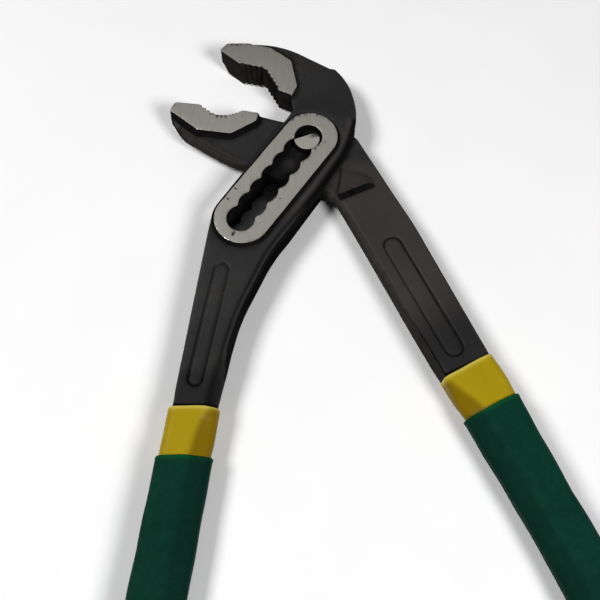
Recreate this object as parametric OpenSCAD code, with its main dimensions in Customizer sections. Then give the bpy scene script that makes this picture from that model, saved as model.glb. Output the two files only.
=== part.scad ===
// Water pump pliers with a box joint and a seven-notch slot.
// The tool lies flat: the arms are in the XY plane, the pivot axis is along Z.
// All plan positions below are measured from the pivot axis at rest.

/* [Box joint] */
// Thickness over the two ground box faces
box_t = 12; // [11.8:0.1:13]
// Thickness over the black cheeks of the box
cheek_t = 10.6; // [10.2:0.1:11]
// Width of the window between the two cheeks
window_t = 6.2; // [6:0.1:6.6]
// Number of notches in the slot
slot_n = 7; // [5:1:7]
// Distance from notch to notch
slot_pitch = 6.5; // [6.2:0.1:6.6]
// Diameter of each notch
notch_d = 9.6; // [9.4:0.1:9.8]
// Direction of the slot below the X axis
slot_a = 55; // [54:0.5:56]
// Radius of the ground face around the slot
boss_r = 9.45; // [9:0.05:9.6]
// How far the ground face sits off the slot's centre line
boss_shift = 0.35; // [0:0.05:0.8]
// How far the ground face sits above the slot, along it
boss_rise = 0.55; // [0:0.05:0.8]

/* [Pivot pin] */
// Diameter of the pin
pin_d = 9; // [8.6:0.1:9]
// Width of the pin across the flats at its ends
pin_flats = 6.6; // [5:0.1:6.6]
// How far each pin end sits under the ground face
pin_sink = 0.1; // [0.05:0.05:0.3]
// Radial running clearance in the inner arm
pin_gap = 0.05; // [0.02:0.01:0.1]

/* [Jaws and arms] */
// Thickness over the ground jaw faces
jaw_t = 10; // [9:0.1:10.4]
// Thickness of the black upper jaw behind its ground face
upper_t = 8.8; // [8:0.1:9]
// Thickness of the tongue that runs through the box
tongue_t = 5.8; // [5.4:0.1:5.8]
// Depth of the jaw teeth
tooth_d = 0.9; // [0.5:0.1:1.2]
// Height of the pinch stop above the middle plane
stop_h = 5; // [4:0.1:5.2]
// Depth of the recessed handle panels
panel_d = 0.5; // [0.2:0.1:0.8]

/* [Handles] */
// Thickness of the steel tangs under the sleeves
tang_t = 9.5; // [9:0.1:9.5]
// Width of the left tang
left_w = 13.8; // [13:0.1:14.2]
// Width of the right tang
right_w = 15.8; // [15:0.1:16.2]
// Thickness of the yellow first coat
base_coat = 0.5; // [0.3:0.05:0.6]
// Thickness of the green second coat
grip_coat = 0.75; // [0.6:0.05:0.75]
// Length of the tang inside the sleeve
tang_l = 109; // [100:1:115]
// Length of yellow that shows above the green
band_l = 15; // [10:1:20]

/* [Hidden] */
$fn = 48;

black = [0.17, 0.17, 0.18];
silver = [0.62, 0.60, 0.57];
yellow = [0.72, 0.62, 0.10];
green = [0.05, 0.27, 0.18];

// Middle of the tool's outline, seen from the pivot
mid = [22.91, -82.715];
// Directions of the two handles and where each sleeve begins
left_a = 262.1;
left_p = [-34.9, -94];
right_a = -64.5;
right_p = [48.3, -82.2];
slot_u = [-cos(slot_a), -sin(slot_a)];
slot_v = [sin(slot_a), -cos(slot_a)];
travel = (slot_n - 1) * slot_pitch;
big = 300;

function unit(v) = v / norm(v);
function xy(p) = [p[0], p[1]];

// Points of the arc that rounds corner b between a and c with radius r
function corner(a, b, c, r, n) = r <= 0 ? [xy(b)] :
    let (u = unit(xy(a) - xy(b)), w = unit(xy(c) - xy(b)),
         half = acos(max(-1, min(1, u * w))) / 2,
         o = xy(b) + unit(u + w) * r / sin(half),
         p = xy(b) + u * r / tan(half) - o,
         q = xy(b) + w * r / tan(half) - o,
         a0 = atan2(p[1], p[0]),
         d = (atan2(q[1], q[0]) - a0 + 540) % 360 - 180)
    [for (i = [0:n]) o + r * [cos(a0 + d * i / n), sin(a0 + d * i / n)]];

// Closed outline whose corners [x, y, r] are rounded
function rounded(p, n = 6) = [for (i = [0:len(p) - 1])
    each corner(p[(i + len(p) - 1) % len(p)], p[i], p[(i + 1) % len(p)], p[i][2], n)];

// Point at k along a handle and m across it
function along(p, a, k, m) = p + k * [cos(a), sin(a)] + m * [-sin(a), cos(a)];

// Outline of the arm with the box: hooked jaw, box, left handle to its sleeve
slotted_pts = [
    [-32.2, 38.4, 0.8], [-29.5, 41.4, 2], [-10, 41.9, 30], [8, 30.9, 1.2], [9.9, 30.6, 1.4],
    [14.8, 24.5, 25], [17.8, 10.5, 30], [13.9, -4.6, 40], [4.3, -20.6, 60], [-7.2, -37.3, 50],
    [-12.15, -43.55, 50], [-22.2, -65.4, 60],
    concat(along(left_p, left_a, -2, left_w / 2), [15]), concat(along(left_p, left_a, 0, left_w / 2), [0]),
    concat(along(left_p, left_a, 0, 0.7 - left_w / 2), [0]), concat(along(left_p, left_a, -4, 0.7 - left_w / 2), [30]),
    [-31.9, -27.6, 12], [-7.6, 8.1, 3], [-5.2, 12.5, 2], [-6.2, 18.2, 0.6],
    [-10.5, 20.4, 0.5], [-15.75, 30.05, 0.4], [-24, 31.6, 0.5]];

// Outline of the arm through the box: lower jaw, tongue, right handle to its sleeve
inner_pts = [
    [-48.6, 12.4, 1], [-47.2, 15.4, 1.2], [-38.3, 14.4, 2], [-32.6, 9.9, 4], [-28.6, 9.6, 4],
    [-23, 11.8, 2.5], [-16.5, 10.6, 2], [-8.2, 8.3, 4], [-1, 11.2, 8], [8.5, 9.5, 5], [17.2, 1.2, 2], [35, -32.4, 150],
    concat(along(right_p, right_a, 0, right_w / 2), [0]), concat(along(right_p, right_a, 0, -right_w / 2), [0]),
    [8.7, -21.8, 3.5], [2.5, -20.3, 4], [-30, -6, 20], [-43.9, 2.9, 10], [-48.7, 10.2, 2]];

// Row of V grooves along an edge from p to q
module grooves(p, q, n) {
    d = q - p;
    for (i = [0:n - 1])
        translate(p + d * (i + 0.5) / n) rotate(45 + atan2(d[1], d[0]))
            square(tooth_d * sqrt(2), center = true);
}

// Stadium from p to q
module stadium(p, q, r) {
    d = q - p;
    for (c = [p, q]) translate(c) circle(r);
    translate((p + q) / 2) rotate(atan2(d[1], d[0])) square([norm(d), 2 * r], center = true);
}

module slab(t) { translate([0, 0, -t / 2]) linear_extrude(t) children(); }

// Solid whose half thickness follows a side outline along direction a
module wedge_band(prof, a) {
    rotate([90, 0, a]) translate([0, 0, -big / 2]) linear_extrude(big)
        polygon([for (p = prof) [p[0], p[1]], for (i = [len(prof) - 1:-1:0]) [prof[i][0], -prof[i][1]]]);
}

module rounded_rect(w, t, r) {
    square([w - 2 * r, t], center = true);
    square([w, t - 2 * r], center = true);
    for (x = [-1, 1], y = [-1, 1]) translate([x * (w / 2 - r), y * (t / 2 - r)]) circle(r);
}

// Bar along a handle from k0 to k1
module bar(p, a, k0, k1, w, t, r) {
    translate([p[0], p[1], 0]) rotate([90, 0, a + 90]) translate([0, 0, k0]) linear_extrude(k1 - k0)
        rounded_rect(w, t, r);
}

// Recessed panel with round ends on both faces of a handle
module panels(p, q, r, h) {
    a = atan2(q[1] - p[1], q[0] - p[0]);
    l = norm(q - p) + r;
    for (s = [-1, 1]) translate([0, 0, s * h]) slab(2 * panel_d)
        polygon(rounded([for (c = [[-r, -r], [l, -r], [l, r], [-r, r]]) concat(along(p, a, c[0], c[1]), [r - 0.05])]));
}

module slot_2d() { for (i = [0:slot_n - 1]) translate(i * slot_pitch * slot_u) circle(notch_d / 2); }

module boss_2d() {
    c = boss_shift * slot_v - boss_rise * slot_u;
    stadium(c, c + travel * slot_u, boss_r);
}

module slotted_2d() {
    difference() {
        polygon(rounded(slotted_pts));
        grooves([-24, 31.6], [-15.75, 30.05], 4);
        grooves([-15.35, 29.3], [-10.5, 20.4], 5);
    }
}

module upper_pad_2d() {
    intersection() {
        slotted_2d();
        polygon(rounded([[-36, 36, 0], [-32, 44, 0], [-24, 44, 0], [-20, 40.6, 0], [-13.7, 39.4, 1], [-6.2, 33.6, 2],
            [-4, 22.4, 1.5], [-6.4, 17, 0], [-12, 17, 0], [-18, 28, 0], [-26, 30, 0]]));
    }
}

module inner_2d() {
    difference() {
        polygon(rounded(inner_pts));
        grooves([-37.6, 13.8], [-33.2, 10.4], 3);
        grooves([-32, 9.9], [-24, 11.3], 4);
    }
}

module lower_pad_2d() {
    intersection() {
        inner_2d();
        polygon(rounded([[-51, 13.6, 0], [-38.5, 3.65, 2], [-26.9, 2.05, 1.8], [-18.2, 7.4, 1], [-17.4, 12, 0],
            [-17.4, 20, 0], [-51, 20, 0]]));
    }
}

// Space that the tongue and its swing need between the cheeks
module window_2d() {
    e = 63.5;
    polygon([[-70, 13], [45, 13], [45, -60], e * slot_u + 45 * slot_v, e * slot_u - 45 * slot_v]);
}

module slotted_arm() {
    color(black) place() difference() {
        union() {
            intersection() {
                slab(box_t) slotted_2d();
                wedge_band([[-120, tang_t / 2], [-92, tang_t / 2], [-44, cheek_t / 2], [8, cheek_t / 2],
                    [18, upper_t / 2], [60, upper_t / 2]], 90);
            }
            slab(jaw_t) upper_pad_2d();
            slab(box_t) boss_2d();
            bar(left_p, left_a, -0.5, tang_l, left_w, tang_t, 3.5);
        }
        slab(window_t) window_2d();
        slab(2 * box_t) slot_2d();
        panels([-27.75, -50.2], [-34.4, -86.5], 2.3, 4.95);
    }
}

// Raised wedge that stops the handles before they pinch: it rises out of the tongue
// below its upper corner and is highest at its lower left corner
module pinch_stop() {
    l = tongue_t / 2;
    plan = [[12.2, -7.4], [10.05, -22.2], [22.55, -16.5]];
    d = [cos(-81), sin(-81)];
    intersection() {
        slab(2 * stop_h) polygon(plan);
        wedge_band([[plan[0] * d - 1, l - 0.2], [plan[0] * d + 5, l - 0.05], [plan[1] * d, stop_h], [plan[1] * d + 2, stop_h]], atan2(d[1], d[0]));
    }
}

module inner_arm() {
    color(black) place() difference() {
        union() {
            intersection() {
                slab(box_t) inner_2d();
                wedge_band([[-80, tongue_t / 2], [36, tongue_t / 2], [92, tang_t / 2], [130, tang_t / 2]], right_a);
            }
            slab(jaw_t) lower_pad_2d();
            pinch_stop();
            bar(right_p, right_a, -2, tang_l, right_w, tang_t, 3.5);
        }
        cylinder(h = 4 * box_t, r = pin_d / 2 + pin_gap, center = true);
        panels([27.6, -40.5], [44.5, -76.2], 3, 3.9);
    }
}

module pivot_pin() {
    l = box_t - 2 * pin_sink;
    color(silver) place() intersection() {
        cylinder(h = l, d = pin_d, center = true);
        union() {
            cylinder(h = tongue_t, d = pin_d + 1, center = true);
            rotate([0, 0, slot_a]) cube([2 * pin_d, pin_flats, 2 * l], center = true);
        }
    }
}

// First coat: sleeve from the visible band to past the tang's end
module sleeve_base(p, a, w) {
    difference() {
        base_bar(p, a, w);
        bar(p, a, -1, tang_l, w, tang_t, 3.5);
    }
}

module base_bar(p, a, w) {
    bar(p, a, 0, tang_l + base_coat, w + 2 * base_coat, tang_t + 2 * base_coat, 3.5 + base_coat);
}

// Second coat: thicker sleeve with a rounded closed end
module grip(p, a, w) {
    c = 2 * (base_coat + grip_coat);
    r = 3.5 + base_coat + grip_coat;
    l = tang_l + base_coat;
    difference() {
        hull() {
            bar(p, a, band_l, l + 0.5, w + c, tang_t + c, r, $fn = 32);
            bar(p, a, band_l, l + 2.7, w + c - 3, tang_t + c - 3, r - 1.5, $fn = 32);
            bar(p, a, band_l, l + 4.05, w + c - 7, tang_t + c - 7, 1.2, $fn = 32);
        }
        base_bar(p, a, w);
    }
}

module left_sleeve_base() { color(yellow) place() sleeve_base(left_p, left_a, left_w); }
module left_grip() { color(green) place() grip(left_p, left_a, left_w); }
module right_sleeve_base() { color(yellow) place() sleeve_base(right_p, right_a, right_w); }
module right_grip() { color(green) place() grip(right_p, right_a, right_w); }

// From the pivot at mid thickness to the tool's own frame
module place() { translate([-mid[0], -mid[1], box_t / 2]) children(); }

slotted_arm();
inner_arm();
pivot_pin();
left_sleeve_base();
left_grip();
right_sleeve_base();
right_grip();
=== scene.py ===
import math

import bpy
import numpy as np
from mathutils.geometry import delaunay_2d_cdt
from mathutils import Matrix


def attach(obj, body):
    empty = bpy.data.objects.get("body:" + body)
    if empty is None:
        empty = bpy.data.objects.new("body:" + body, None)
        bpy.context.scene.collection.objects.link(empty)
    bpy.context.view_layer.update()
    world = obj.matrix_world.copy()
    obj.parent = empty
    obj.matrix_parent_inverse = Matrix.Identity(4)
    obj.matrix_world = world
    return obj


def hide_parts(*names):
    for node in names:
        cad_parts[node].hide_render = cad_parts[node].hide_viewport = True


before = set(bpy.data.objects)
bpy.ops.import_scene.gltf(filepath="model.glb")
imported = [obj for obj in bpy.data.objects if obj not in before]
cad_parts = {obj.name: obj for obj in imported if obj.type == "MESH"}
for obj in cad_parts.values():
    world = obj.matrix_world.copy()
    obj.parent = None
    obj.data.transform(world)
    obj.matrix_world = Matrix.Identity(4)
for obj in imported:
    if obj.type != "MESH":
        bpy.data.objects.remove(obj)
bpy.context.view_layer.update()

# ---------------------------------------------------------------------------
# Frame. All plan positions below are in millimetres from the pivot axis, with
# z measured from the tool's middle plane, as in the CAD source.
MID = np.array([22.91, -82.715])
HALF = 6.0


def metres(v):
    """Pivot-centred millimetres to the row frame in metres."""
    v = np.asarray(v, float)
    return np.column_stack([v[:, 0] - MID[0], v[:, 1] - MID[1], v[:, 2] + HALF]) * 0.001


SLOT_A = math.radians(55)
SLOT_U = np.array([-math.cos(SLOT_A), -math.sin(SLOT_A)])
SLOT_V = np.array([math.sin(SLOT_A), -math.cos(SLOT_A)])
PITCH, NOTCHES, NOTCH_R = 6.5, 7, 4.8
TRAVEL = PITCH * (NOTCHES - 1)
BOSS_R, BOSS_SHIFT, BOSS_RISE = 9.45, 0.35, 0.55
LEFT_A, LEFT_P, LEFT_W = math.radians(262.1), np.array([-34.9, -94.0]), 13.8
RIGHT_A, RIGHT_P, RIGHT_W = math.radians(-64.5), np.array([48.3, -82.2]), 15.8
TANG_T, TANG_L, BAND_L = 9.5, 109.0, 15.0
BASE_COAT, GRIP_COAT = 0.5, 0.75
TOP, CHEEK, WINDOW, PAD, UPPER, TONGUE = 6.0, 5.3, 3.1, 5.0, 4.4, 2.9


def along(p, a, k, m):
    return p + k * np.array([math.cos(a), math.sin(a)]) + m * np.array([-math.sin(a), math.cos(a)])


def handle_coords(xy, p, a):
    """How far along and across a handle each point is."""
    d = xy - p
    return d @ np.array([math.cos(a), math.sin(a)]), d @ np.array([-math.sin(a), math.cos(a)])


def smooth(t):
    t = np.clip(t, 0, 1)
    return t * t * (3 - 2 * t)


# ---------------------------------------------------------------------------
# Plane geometry
def rounded(points, step=0.35):
    """Closed outline whose corners [x, y, r] are rounded."""
    out, n = [], len(points)
    for i in range(n):
        b = np.array(points[i][:2], float)
        r = points[i][2]
        if r <= 0:
            out.append(b)
            continue
        a, c = np.array(points[i - 1][:2], float), np.array(points[(i + 1) % n][:2], float)
        u, w = (a - b) / np.linalg.norm(a - b), (c - b) / np.linalg.norm(c - b)
        half = math.acos(max(-1.0, min(1.0, float(u @ w)))) / 2
        o = b + (u + w) / np.linalg.norm(u + w) * r / math.sin(half)
        p, q = b + u * r / math.tan(half) - o, b + w * r / math.tan(half) - o
        a0 = math.atan2(p[1], p[0])
        d = (math.atan2(q[1], q[0]) - a0 + 3 * math.pi) % (2 * math.pi) - math.pi
        k = max(2, math.ceil(abs(d) * r / step), math.ceil(abs(d) / 0.35))
        out += [o + r * np.array([math.cos(a0 + d * j / k), math.sin(a0 + d * j / k)]) for j in range(k + 1)]
    return np.array(out)


def resample(poly, step):
    """The same closed outline with no edge longer than step."""
    out = []
    for i in range(len(poly)):
        a, b = poly[i], poly[(i + 1) % len(poly)]
        k = max(1, math.ceil(np.linalg.norm(b - a) / step))
        out += [a + (b - a) * j / k for j in range(k)]
    return np.array(out)


def teeth(p, q, n, depth, width, r=0.12):
    """Corner list of n V grooves along the edge from p to q of a clockwise outline."""
    p, q = np.array(p, float), np.array(q, float)
    d = (q - p) / np.linalg.norm(q - p)
    inward = np.array([d[1], -d[0]])
    out = []
    for i in range(n):
        c = p + (q - p) * (i + 0.5) / n
        for s, h in ((-1, 0), (0, depth), (1, 0)):
            w = c + d * s * width / 2 + inward * h
            out.append([w[0], w[1], r])
    return out


def measure(xy, poly):
    """Signed distance to a closed outline, positive inside, with the nearest edge and place on it."""
    a, b = poly, np.roll(poly, -1, 0)
    ab = b - a
    ll = np.maximum((ab**2).sum(1), 1e-12)
    dist, edge, place = np.empty(len(xy)), np.empty(len(xy), int), np.empty(len(xy))
    inside = np.empty(len(xy), bool)
    for s in range(0, len(xy), 2000):
        p = xy[s : s + 2000, None, :]
        t = np.clip(((p - a) * ab).sum(2) / ll, 0, 1)
        off = p - (a + t[..., None] * ab)
        dd = (off**2).sum(2)
        j = dd.argmin(1)
        rows = np.arange(len(j))
        dist[s : s + 2000], edge[s : s + 2000], place[s : s + 2000] = np.sqrt(dd[rows, j]), j, t[rows, j]
        y0, y1, y = a[:, 1], b[:, 1], p[:, :, 1]
        cross = (y0 > y) != (y1 > y)
        x = a[:, 0] + (y - y0) / np.where(y1 == y0, 1e-12, y1 - y0) * ab[:, 0]
        inside[s : s + 2000] = (cross & (p[:, :, 0] < x)).sum(1) % 2 == 1
    return np.where(inside, dist, -dist), edge, place


def capsule(xy, p, q, r):
    """Signed distance to a stadium, positive outside."""
    p, q = np.array(p, float), np.array(q, float)
    d = q - p
    t = np.clip(((xy - p) @ d) / (d @ d), 0, 1)
    return np.linalg.norm(xy - p - t[:, None] * d, axis=1) - r


def capsule_loop(p, q, r, step=0.4):
    p, q = np.array(p, float), np.array(q, float)
    a = math.atan2(*(q - p)[::-1])
    k = max(8, math.ceil(math.pi * r / step))
    left = [q + r * np.array([math.cos(a - math.pi / 2 + math.pi * j / k), math.sin(a - math.pi / 2 + math.pi * j / k)]) for j in range(k + 1)]
    right = [p + r * np.array([math.cos(a + math.pi / 2 + math.pi * j / k), math.sin(a + math.pi / 2 + math.pi * j / k)]) for j in range(k + 1)]
    return resample(np.array(left + right), 0.8)


def normals(poly):
    """Unit normals at the points of a clockwise outline, towards its inside."""
    d = np.roll(poly, -1, 0) - np.roll(poly, 1, 0)
    d /= np.maximum(np.linalg.norm(d, axis=1, keepdims=True), 1e-9)
    return np.column_stack([d[:, 1], -d[:, 0]])


def spread_along(poly, anchors):
    """Values at an outline's points, from anchors (x, y, values...) spread evenly between the places nearest to them."""
    length = np.concatenate([[0], np.cumsum(np.linalg.norm(np.roll(poly, -1, 0) - poly, axis=1))])
    total = length[-1]
    rows = []
    for a in anchors:
        j = int(((poly - np.array(a[:2])) ** 2).sum(1).argmin())
        rows.append((length[j], *a[2:]))
    rows.sort()
    s = np.array([r[0] for r in rows])
    s3 = np.concatenate([s - total, s, s + total])
    return [np.interp(length[:-1], s3, np.tile([r[c] for r in rows], 3)) for c in range(1, len(rows[0]))]


def thin(points, least):
    """Points with none closer than least to an earlier one."""
    cell, kept = {}, []
    for p in points:
        i, j = int(p[0] // least), int(p[1] // least)
        near = [q for di in (-1, 0, 1) for dj in (-1, 0, 1) for q in cell.get((i + di, j + dj), ())]
        if all((p[0] - q[0]) ** 2 + (p[1] - q[1]) ** 2 >= least * least for q in near):
            cell.setdefault((i, j), []).append(p)
            kept.append(p)
    return kept


def triangulate(loops, lines, extra):
    """Triangles that keep every loop and line, over those and the extra points."""
    pts, edges = [], []
    for loop in loops:
        n = len(pts)
        pts += [tuple(p) for p in loop]
        edges += [(n + i, n + (i + 1) % len(loop)) for i in range(len(loop))]
    for line in lines:
        n = len(pts)
        pts += [tuple(p) for p in line]
        edges += [(n + i, n + i + 1) for i in range(len(line) - 1)]
    pts += [tuple(p) for p in extra]
    v, _, f, *_ = delaunay_2d_cdt([(float(x), float(y)) for x, y in pts], edges, [], 0, 1e-4, False)
    xy, tri = np.array([tuple(p) for p in v]), np.array([tuple(t) for t in f])
    a, b, c = xy[tri[:, 0]], xy[tri[:, 1]], xy[tri[:, 2]]
    area = (b - a)[:, 0] * (c - a)[:, 1] - (b - a)[:, 1] * (c - a)[:, 0]
    tri[area < 0] = tri[area < 0][:, ::-1]
    return xy, tri[np.abs(area) > 1e-7]


def hexagons(low, high, step):
    """Even field of points."""
    out = []
    for j, y in enumerate(np.arange(low[1], high[1], step * 0.866)):
        out += [(x + (j % 2) * step / 2, y) for x in np.arange(low[0], high[0], step)]
    return np.array(out)


def uneven(xy):
    """Slow hammered unevenness of a forging's skin."""
    x, y = xy[:, 0], xy[:, 1]
    return 0.035 * (
        np.sin(0.21 * x + 0.13 * y + 1.3) * np.sin(0.17 * y - 0.09 * x + 0.4)
        + 0.6 * np.sin(0.47 * x - 0.31 * y + 2.1) * np.sin(0.39 * y + 0.22 * x)
        + 0.4 * np.sin(0.9 * x + 0.5 * y) * np.sin(0.8 * y - 0.6 * x + 1.0)
    )


def edge_drop(d, wide, deep):
    """Fall of a rounded edge at distance d inside it."""
    t = np.clip(1 - d / wide, 0, 1)
    return deep * (1 - np.sqrt(np.maximum(1 - t * t, 0)))


def step_down(e, run):
    """Share of a raised face's height left at distance e outside it: steep, then a fillet."""
    return np.where(e <= 0, 1.0, np.clip(1 - e / run, 0, 1) ** 1.7)


LEFT_RIDGE = ([-22, -17, -14.5, -11, -8.5, -4.7, -0.5, 0.5, 2, 5, 9, 14, 30, 120], [0.0, 0.08, 0.13, 0.22, 0.25, 0.255, 0.235, 0.235, 0.28, 0.41, 0.48, 0.51, 0.51, 0.51])
RIGHT_RIDGE = ([-30, -5, 0, 3, 6, 10, 13, 17, 30, 120], [0.0, 0.03, 0.08, 0.18, 0.26, 0.37, 0.41, 0.38, 0.38, 0.38])


# Half widths of the handles inside their coats, along each handle: (k, inner side, outer side)
LEFT_SIDES = np.array([[-60, 6.9, 6.9], [0, 7.1, 6.9], [3, 7.3, 6.9], [12, 7.3, 6.9], [17, 6.9, 6.9], [120, 6.9, 6.9]])
RIGHT_SIDES = np.array([[-60, 7.9, 7.9], [0, 7.9, 8.4], [4, 7.9, 8.7], [9, 7.9, 9.0], [15, 7.1, 8.5], [21, 7.0, 8.2], [29, 6.85, 7.9], [37, 6.6, 7.6], [46, 6.45, 7.3], [62, 6.4, 7.3], [72, 6.9, 7.3], [120, 6.9, 7.3]])


def sides(table, k):
    return np.interp(k, table[:, 0], table[:, 1]), np.interp(k, table[:, 0], table[:, 2])


def inner_slope(k, gap, half, ridge):
    """Fall of the handle's inner shoulder at k along the handle and gap from its inner edge: a straight slope from a ridge that wanders away from that edge."""
    share = np.interp(k, *ridge)
    steep = np.interp(k, [-24, -18, -8, -1, 1, 4, 14, 120], [0.0, 0.35, 0.6, 0.75, 0.75, 0.52, 0.46, 0.42])
    e = 2 * half * share - gap
    soft = 0.35
    return steep * 0.5 * (e + np.sqrt(e * e + soft * soft))


# ---------------------------------------------------------------------------
# Meshes
def new_object(name, verts, faces, mats, index, smooth_angle=38.0, layers=None):
    used = np.unique(np.concatenate([np.asarray(f).ravel() for f in faces]))
    place = -np.ones(len(verts), int)
    place[used] = np.arange(len(used))
    rows = [tuple(int(place[i]) for i in f) for group in faces for f in group]
    mesh = bpy.data.meshes.new(name)
    mesh.from_pydata([tuple(p) for p in metres(verts[used])], [], rows)
    for m in mats:
        mesh.materials.append(m)
    mesh.polygons.foreach_set("material_index", np.asarray(index, np.int32))
    mesh.polygons.foreach_set("use_smooth", np.ones(len(rows), bool))
    for key, value in (layers or {}).items():
        layer = mesh.attributes.new(key, "FLOAT", "POINT")
        layer.data.foreach_set("value", np.asarray(value, np.float32)[used])
    mesh.validate()
    mesh.update()
    mesh.set_sharp_from_angle(angle=math.radians(smooth_angle))
    ob = bpy.data.objects.new(name, mesh)
    bpy.context.scene.collection.objects.link(ob)
    even = ob.modifiers.new("even_normals", "WEIGHTED_NORMAL")
    even.keep_sharp = True
    even.weight = 60
    return ob


def forging(name, xy, tri, zt, zb, window, zi, ground, mats, layers):
    """Closed solid between height fields above and below the middle plane, split by a window of half height zi where the triangles say so."""
    n = len(xy)
    flat = lambda z: np.column_stack([xy, np.broadcast_to(z, n)])
    zi = np.minimum(zi, np.minimum(zt, zb) - 0.03)
    verts = np.concatenate([flat(zt), flat(-zb), flat(zi), flat(-zi)])
    T, B, I, J = 0, n, 2 * n, 3 * n
    owner = {}
    for t, (a, b, c) in enumerate(tri.tolist()):
        owner[(a, b)] = owner[(b, c)] = owner[(c, a)] = t
    walls = []
    for (a, b), t in owner.items():
        o = owner.get((b, a))
        if o is None:
            walls += [(a + T, a + I, b + I, b + T), (a + J, a + B, b + B, b + J)]
            if not window[t]:
                walls.append((a + I, a + J, b + J, b + I))
        elif window[o] and not window[t]:
            walls.append((a + I, a + J, b + J, b + I))
    back = tri[:, ::-1]
    faces = [tri + T, back + B, back[window] + I, tri[window] + J]
    index = [ground.astype(int), ground.astype(int), np.full(window.sum(), 2), np.full(window.sum(), 2), np.full(len(walls), 2)]
    return new_object(name, verts, faces + [np.array(walls)], mats, np.concatenate(index), layers={k: np.tile(v, 4) for k, v in layers.items()})


# ---------------------------------------------------------------------------
# Materials
class Nodes:
    """Short way to write a node tree."""

    def __init__(self, name):
        self.mat = bpy.data.materials.new(name)
        self.mat.use_nodes = True
        self.tree = self.mat.node_tree
        self.shader = self.tree.nodes["Principled BSDF"]

    def add(self, kind, **values):
        node = self.tree.nodes.new(kind)
        for k, v in values.items():
            if hasattr(node, k):
                setattr(node, k, v)
            else:
                node.inputs[k].default_value = v
        return node

    def link(self, a, b):
        self.tree.links.new(a, b)

    def coords(self, scale=(1, 1, 1), turn=0.0):
        tex = self.add("ShaderNodeTexCoord")
        mp = self.add("ShaderNodeMapping")
        mp.inputs["Scale"].default_value = scale
        mp.inputs["Rotation"].default_value = (0, 0, turn)
        self.link(tex.outputs["Object"], mp.inputs["Vector"])
        return mp.outputs["Vector"]

    def noise(self, vector, scale, detail=3.0, rough=0.55):
        node = self.add("ShaderNodeTexNoise")
        node.inputs["Scale"].default_value = scale
        node.inputs["Detail"].default_value = detail
        node.inputs["Roughness"].default_value = rough
        self.link(vector, node.inputs["Vector"])
        return node.outputs["Fac"]

    def ramp(self, value, stops):
        node = self.add("ShaderNodeValToRGB")
        cr = node.color_ramp
        while len(cr.elements) < len(stops):
            cr.elements.new(0.5)
        for el, (pos, col) in zip(cr.elements, stops):
            el.position = pos
            el.color = (*col, 1) if len(col) == 3 else col
        self.link(value, node.inputs["Fac"])
        return node.outputs["Color"]

    def span(self, value, a, b, lo, hi):
        node = self.add("ShaderNodeMapRange")
        for k, v in zip(("From Min", "From Max", "To Min", "To Max"), (a, b, lo, hi)):
            node.inputs[k].default_value = v
        self.link(value, node.inputs["Value"])
        return node.outputs["Result"]

    def math(self, op, a, b):
        node = self.add("ShaderNodeMath", operation=op)
        for i, x in enumerate((a, b)):
            if isinstance(x, (int, float)):
                node.inputs[i].default_value = x
            else:
                self.link(x, node.inputs[i])
        return node.outputs["Value"]

    def mix(self, fac, a, b, mode="MIX"):
        node = self.add("ShaderNodeMix", data_type="RGBA", blend_type=mode)
        for i, x in ((0, fac), (6, a), (7, b)):
            if isinstance(x, (int, float)):
                node.inputs[i].default_value = x
            elif isinstance(x, tuple):
                node.inputs[i].default_value = (*x, 1)
            else:
                self.link(x, node.inputs[i])
        return node.outputs[2]

    def layer(self, name):
        return self.add("ShaderNodeAttribute", attribute_name=name).outputs["Fac"]

    def bump(self, *heights):
        """Chain of bumps from (value, strength, distance in metres)."""
        last = None
        for value, strength, distance in heights:
            node = self.add("ShaderNodeBump")
            node.inputs["Strength"].default_value = strength
            node.inputs["Distance"].default_value = distance
            self.link(value, node.inputs["Height"])
            if last:
                self.link(last, node.inputs["Normal"])
            last = node.outputs["Normal"]
        self.link(last, self.shader.inputs["Normal"])

    def put(self, **values):
        for k, v in values.items():
            socket = self.shader.inputs[k.replace("_", " ")]
            if isinstance(v, (int, float)):
                socket.default_value = v
            elif isinstance(v, tuple):
                socket.default_value = (*v, 1) if len(v) == 3 else v
            else:
                self.link(v, socket)
        return self.mat


def black_steel():
    m = Nodes("black_steel")
    v = m.coords()
    broad, mottle, grain = m.noise(v, 55, 3), m.noise(v, 420, 4, 0.6), m.noise(v, 2600, 2)
    colour = m.ramp(broad, [(0.3, (0.0120, 0.0118, 0.0122)), (0.5, (0.0165, 0.0156, 0.0154)), (0.72, (0.0215, 0.0196, 0.0184))])
    colour = m.mix(m.span(mottle, 0.35, 0.75, 0.0, 0.5), colour, (0.009, 0.0087, 0.0088))
    # Painted light: mixes in a lighter brown-grey where light falls, on the rounded band of the box's right cheek and
    # on the arm beside the box.
    colour = m.mix(m.math("MULTIPLY", m.layer("painted_light"), 0.8), colour, m.ramp(broad, [(0.3, (0.0300, 0.0252, 0.0238)), (0.7, (0.0400, 0.0335, 0.0312))]))
    # Worn edges mixed lighter, partly real wear and partly a painted highlight along edges and the rims of the ground
    # faces.
    wear_and_highlight = m.math("MULTIPLY", m.layer("edge"), m.span(m.noise(v, 700, 3), 0.42, 0.68, 0.0, 1.0))
    colour = m.mix(m.math("MULTIPLY", wear_and_highlight, 0.30), colour, (0.075, 0.071, 0.068))
    # Painted shade: mixes the colour towards near black in grooves, steps, outlines, beside the box and above the
    # sleeves, where shade falls; the same layer raises roughness and lowers specular.
    colour = m.mix(m.math("MULTIPLY", m.layer("painted_shade"), 0.92), colour, (0.0012, 0.0012, 0.0012))
    rough = m.math("MAXIMUM", m.span(mottle, 0.2, 0.8, 0.48, 0.64), m.math("MULTIPLY", m.layer("painted_shade"), 0.97))
    m.bump((broad, 0.25, 0.0004), (mottle, 0.22, 0.00012), (grain, 0.20, 0.00005))
    return m.put(Base_Color=colour, Roughness=rough, Metallic=0.0, Specular_IOR_Level=m.span(m.layer("painted_shade"), 0.0, 1.0, 0.30, 0.05))


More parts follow.
